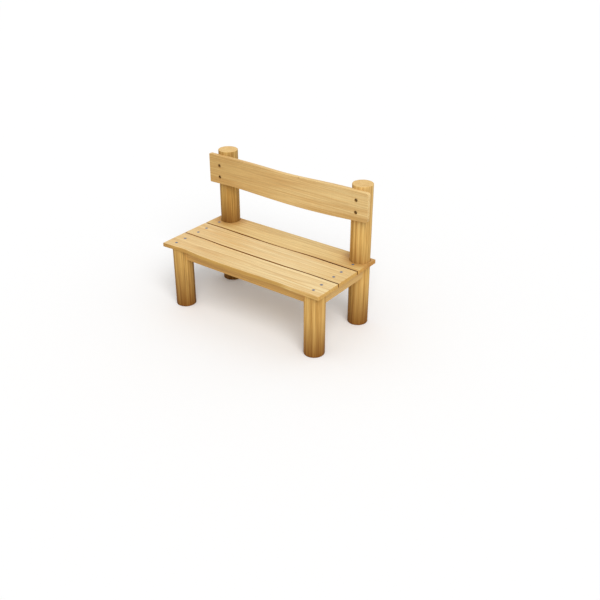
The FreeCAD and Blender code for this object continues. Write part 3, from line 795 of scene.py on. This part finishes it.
def plank(name, outline, screws):
    """A seat plank in the place of a CAD one, with countersunk holes for its screws. Its outline is a list of
    (x, y, radius of the rounded top edge) in mm, anticlockwise."""
    miters = []
    for i, (x, y, _) in enumerate(outline):
        before, after = outline[i - 1], outline[(i + 1) % len(outline)]
        first = Vector((y - before[1], before[0] - x)).normalized()
        second = Vector((after[1] - y, x - after[0])).normalized()
        miters.append((first + second) / (1 + first.dot(second)))

    def ring(z, drop, inset, margin=0.0):
        """The outline at a height, lowered and set in by shares of the edge's radius, and by a margin."""
        points = []
        for (x, y, radius), miter in zip(outline, miters):
            reach = radius * inset + margin
            points.append(((x - miter.x * reach) * MM, (y - miter.y * reach) * MM, (z - radius * drop) * MM))
        return points

    rings = [ring(PLANK_BOTTOM, 0.0, 0.0)]
    rings += [ring(SEAT_TOP, 1 - up, 1 - out) for out, up in rounded()]
    rings.append(ring(SEAT_TOP, 0.0, 1.0, 1.0))
    vertices, faces = skin(rings, closed=False)

    # The top and the bottom are filled between the outline and the holes, given as (first vertex, count).
    tops = [(len(vertices) - len(outline), len(outline))]
    bottoms = [(0, len(outline))]
    for centre in solid_centres(screws, 2):
        hole = lathe(HOLE, HOLE_SIDES, (centre.x, centre.y, SEAT_TOP * MM), Matrix.Identity(3))
        shift = len(vertices)
        vertices, faces = merged([(vertices, faces), skin(hole, closed=False)])
        tops.append((shift, HOLE_SIDES))
        bottoms.append((shift + (len(HOLE) - 1) * HOLE_SIDES, HOLE_SIDES))
    for loops, up in ((tops, 1), (bottoms, -1)):
        index = [start + i for start, length in loops for i in range(length)]
        chains = [[Vector(vertices[start + i]) for i in range(length)] for start, length in loops]
        for corners in geometry.tessellate_polygon(chains):
            face = tuple(index[i] for i in corners)
            a, b, c = (Vector(vertices[i]) for i in face)
            faces.append(face if (b - a).cross(c - a).z * up > 0 else face[::-1])
    piece = build(name + "_board", vertices, faces)
    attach(piece, "root")
    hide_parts(name)
    return piece


OUTLINES = {
    "front_plank": front_edge() + gap_edge(FRONT_GAP, -1)[::-1],
    "middle_plank": gap_edge(FRONT_GAP, 1) + gap_edge(REAR_GAP, -1)[::-1],
    "rear_plank": [
        *gap_edge(REAR_GAP, 1), (RIGHT_END, REAR_LINE, SAWN), *notch(POST_X), *notch(-POST_X),
        (LEFT_END, REAR_LINE, SAWN),
    ],
}
planks = {name: plank(name, outline, name + "_screws") for name, outline in OUTLINES.items()}

# Wood of the seat, frame and backrest

PALE = srgb(248, 225, 172)
DEEP = srgb(231, 194, 131)
# Painted shade on the planks' sides, which the tint of their ends lightens again, and painted shade towards
# the left and the right end.
SIDE_SHADE = (0.71, 0.55, 0.27)
END = (1.16, 1.17, 1.26)
LEFT_SHADE = (0.94, 0.87, 0.78)
RIGHT_SHADE = (0.95, 0.90, 0.80)
RAIL = dict(light=srgb(230, 181, 102), dark=srgb(208, 155, 81), end=(0.8, 0.7, 0.6))
BEARER = dict(light=srgb(232, 189, 116), dark=srgb(209, 162, 92), along="y")

# What board_wood takes for each board, as it names it.
BOARD_LOOKS = {
    "front_plank": dict(
        pith=(-0.205, 0.355), seed=3.1, light=PALE, dark=DEEP, side=SIDE_SHADE, end=END, left=LEFT_SHADE, gap=1,
        screws="front_plank_screws", marks=front_edge_tones_and_shade,
    ),
    "middle_plank": dict(
        pith=(0.022, 0.350), seed=7.7, light=PALE, dark=DEEP, side=SIDE_SHADE, end=END, left=LEFT_SHADE,
        right=RIGHT_SHADE, gap=0, screws="middle_plank_screws",
    ),
    "rear_plank": dict(
        pith=(0.170, 0.362), seed=13.3, light=srgb(243, 215, 151), dark=srgb(222, 182, 114), side=SIDE_SHADE,
        end=(1.27, 1.31, 1.48), left=LEFT_SHADE, right=RIGHT_SHADE, gap=-1, screws="rear_plank_screws",
        marks=shade_round_rear_posts,
    ),
    # The backrest's left tint is painted shade, darker to the left and mostly left off its top.
    "backrest_board": dict(
        pith=(0.245, 0.83), seed=BACKREST_SEED, light=srgb(243, 212, 150), dark=srgb(221, 177, 110),
        left=(0.80, 0.72, 0.56), left_on_top=0.15, knot=((0.112, 0.169, 0.889), 0.006), marks=backrest_marks_and_shade,
    ),
    "front_rail": dict(pith=(-0.219, 0.30), seed=31.0, **RAIL),
    "rear_rail": dict(pith=(0.252, 0.30), seed=37.0, **RAIL),
    "left_bearer": dict(pith=(-0.56, 0.30), seed=43.0, **BEARER),
    "right_bearer": dict(pith=(0.53, 0.30), seed=47.0, **BEARER),
}
for name, look in BOARD_LOOKS.items():
    give(planks.get(name) or nodes[name], board_wood(name + "_wood", **look))

# Fasteners

SCREW_SIDES = 36
BOLT_SIDES = 48

# The rings of a thread in one turn, and the kinds of rings on a bolt.
THREAD_RINGS = 5
PLAIN, CHAMFER, HEXAGON, THREAD = range(4)

# How much further each fastener is turned than the one before, in radians.
SCREW_SPIN = 0.4
BOLT_SPIN = 0.3

# Turns an axis that points up to the front.
TO_FRONT = Matrix(((1, 0, 0), (0, 0, -1), (0, 1, 0)))


def thread_heights(first, last, pitch):
    """The heights of a thread's rings, whose first and last are given as depths below the head's top."""
    count = int((last - first) / (pitch / THREAD_RINGS))
    return [-first - i * pitch / THREAD_RINGS for i in range(count + 1)]


def thread_relief(angle, height, pitch, crest, slope):
    """How far a thread stands out at a place: its crest, less the slope times the turns away from it."""
    turns = (height / pitch - angle / (2 * math.pi)) % 1.0
    return max(0.0, crest - abs(turns - 0.5) * slope)


def screw_parts(at, turn, spin):
    """A countersunk wood screw with a six-lobed drive, threaded below a plain neck."""
    head, neck, core = 7.95, 3.4, 2.7
    length, pitch = 55.0, 4.0

    # Radius and height, from the middle of the drive's floor out to the head's rim and down to the tip. Lobes
    # are how far the drive's rings go in and out.
    profile = [(0.6, -3.2), (2.5, -3.2), (2.6, -0.35), (3.0, 0.0), (5.2, 0.0), (7.4, 0.0)]
    profile += [(head, -0.3), (head, -0.7), (neck + 0.3, -5.4), (neck, -6.2), (neck, -18.0)]
    lobes = {1: 0.42, 2: 0.42, 3: 0.3}
    first_thread = len(profile)
    profile += [(core, height) for height in thread_heights(19.0, length - 5.0, pitch)]
    last_thread = len(profile) - 1
    profile += [(1.4, -length + 2.2), (0.25, -length)]

    def wobble(index, angle, height):
        if index in lobes:
            return lobes[index] * math.cos(6 * (angle + spin))
        if first_thread < index < last_thread:
            return thread_relief(angle, height, pitch, 1.1, 4.4)
        return 0.0

    rings = lathe(profile, SCREW_SIDES, at, turn, wobble)
    return skin(rings[::-1])


def bolt_parts(at, turn, spin):
    """A hexagon wood screw with a washer face: chamfered hexagon head, flange, neck and thread."""
    across_flats, face = 13.0, 6.35
    core, pitch = 3.0, 4.4
    length, head_height = 80.0, 6.0

    def hexagon(angle):
        local = (angle + spin) % (math.pi / 3) - math.pi / 6
        return across_flats / 2 / math.cos(local)

    # Radius, height and kind, from the middle of the head's top to the tip. The hexagon is all wobble.
    profile = [(0.5, 0.0, PLAIN), (4.6, 0.0, PLAIN), (5.7, 0.02, PLAIN), (face, -0.3, CHAMFER)]
    profile += [(0.0, -0.9, HEXAGON), (0.0, -4.5, HEXAGON)]
    profile += [(8.6, -4.75, PLAIN), (8.9, -5.1, PLAIN), (8.9, -5.9, PLAIN), (8.6, -6.0, PLAIN)]
    profile += [(4.2, -6.0, PLAIN), (4.0, -6.6, PLAIN), (4.0, -30.0, PLAIN)]
    profile += [(core, height, THREAD) for height in thread_heights(31.0, length + 2.0, pitch)]
    profile += [(1.6, -length - head_height + 4.0, PLAIN), (0.3, -length - head_height, PLAIN)]

    def wobble(index, angle, height):
        kind = profile[index][2]
        if kind == CHAMFER:
            return min(hexagon(angle) - face, 0.45)
        if kind == HEXAGON:
            return hexagon(angle)
        if kind == THREAD and height > -length + 2:
            return thread_relief(angle, height, pitch, 1.0, 4.0)
        return 0.0

    rings = lathe([(radius, height) for radius, height, _ in profile], BOLT_SIDES, at, turn, wobble)
    return skin(rings[::-1])


SCREW_STEEL = steel("screw_steel", (0.12, 0.17, 0.31), 0.3)
# The bolts' dark bronze also paints the shade in their deep recesses.
BOLT_STEEL_WITH_SHADE = steel("bolt_steel_with_shade", (0.23, 0.145, 0.05), 0.85)
for name in ("front_plank_screws", "middle_plank_screws", "rear_plank_screws"):
    parts = []
    for index, centre in enumerate(solid_centres(name, 2)):
        parts.append(screw_parts(centre, Matrix.Identity(3), SCREW_SPIN * index))
    piece = build(name + "_steel", *merged(parts))
    give(piece, SCREW_STEEL)
    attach(piece, "root")
    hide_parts(name)
parts = []
for index, centre in enumerate(solid_centres("backrest_bolts", 1)):
    parts.append(bolt_parts(centre, TO_FRONT, BOLT_SPIN * index))
piece = build("backrest_bolts_steel", *merged(parts))
give(piece, BOLT_STEEL_WITH_SHADE)
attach(piece, "root")
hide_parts("backrest_bolts")

# Floor, light and camera

# The floor lies just below the feet, so that no two faces share a plane.
FLOOR_HALF = 60.0
FLOOR_LEVEL = -0.0002

# The floor and the sky are white to look at, and dimmer as a source of light for the bench.
FLOOR_LIT = (0.60, 0.60, 0.56)
FLOOR_SEEN = (1.0, 1.0, 1.0)
SKY_LIGHT = 0.62

SUN_LIGHT = 1.7
SUN_ANGLE = 38
TO_SUN = Vector((0.75, -0.65, 1.0))

# The camera that was fitted to the photo, in metres, radians and mm.
EYE = Vector((2.8607, -3.5417, 2.5924))
YAW, PITCH, ROLL = 0.6351, 0.5033, 0.0031
LENS = 48.61


def is_seen_plainly(tree):
    """1 for camera rays and for reflections of the surroundings, 0 for the light that falls on the bench."""
    path = tree.nodes.new("ShaderNodeLightPath")
    total = path.outputs["Is Camera Ray"]
    for key in ("Is Glossy Ray", "Is Transmission Ray"):
        most = tree.nodes.new("ShaderNodeMath")
        most.operation = "MAXIMUM"
        tree.links.new(total, most.inputs[0])
        tree.links.new(path.outputs[key], most.inputs[1])
        total = most.outputs[0]
    return total


floor_mesh = bpy.data.meshes.new("floor")
corners = [(x * FLOOR_HALF, y * FLOOR_HALF, FLOOR_LEVEL) for x, y in ((-1, -1), (1, -1), (1, 1), (-1, 1))]
floor_mesh.from_pydata(corners, [], [(0, 1, 2, 3)])
floor = bpy.data.objects.new("floor", floor_mesh)
bpy.context.scene.collection.objects.link(floor)
paint = Graph("floor_paint")
seen = is_seen_plainly(paint.tree)
paint.put(paint.shader, "Base Color", paint.mix(seen, FLOOR_LIT, FLOOR_SEEN))
paint.put(paint.shader, "Roughness", 1.0)
paint.put(paint.shader, "Specular IOR Level", 0.0)
give(floor, paint.material)

world = bpy.data.worlds.new("studio")
bpy.context.scene.world = world
world.use_nodes = True
sky = world.node_tree
seen = is_seen_plainly(sky)
strength = sky.nodes.new("ShaderNodeMapRange")
sky.links.new(seen, strength.inputs[0])
strength.inputs[3].default_value = SKY_LIGHT
strength.inputs[4].default_value = 1.0
sky.nodes["Background"].inputs[0].default_value = (1.0, 1.0, 1.0, 1.0)
sky.links.new(strength.outputs[0], sky.nodes["Background"].inputs[1])

sun_data = bpy.data.lights.new("softbox", "SUN")
sun_data.energy = SUN_LIGHT
sun_data.angle = math.radians(SUN_ANGLE)
sun = bpy.data.objects.new("softbox", sun_data)
bpy.context.scene.collection.objects.link(sun)
sun.rotation_euler = TO_SUN.to_track_quat("Z", "Y").to_euler()

ahead = Vector((-math.sin(YAW) * math.cos(PITCH), math.cos(YAW) * math.cos(PITCH), -math.sin(PITCH)))
right = Vector((math.cos(YAW), math.sin(YAW), 0.0))
up = right.cross(ahead)
rolled_right = math.cos(ROLL) * right + math.sin(ROLL) * up
rolled_up = -math.sin(ROLL) * right + math.cos(ROLL) * up
camera_data = bpy.data.cameras.new("camera")
camera_data.sensor_width = 36.0
camera_data.lens = LENS
camera_data.clip_end = 200.0
camera = bpy.data.objects.new("camera", camera_data)
bpy.context.scene.collection.objects.link(camera)
turned = Matrix((rolled_right, rolled_up, -ahead)).transposed().to_4x4()
camera.matrix_world = Matrix.Translation(EYE) @ turned
bpy.context.scene.camera = camera
bpy.context.scene.view_settings.view_transform = "Standard"
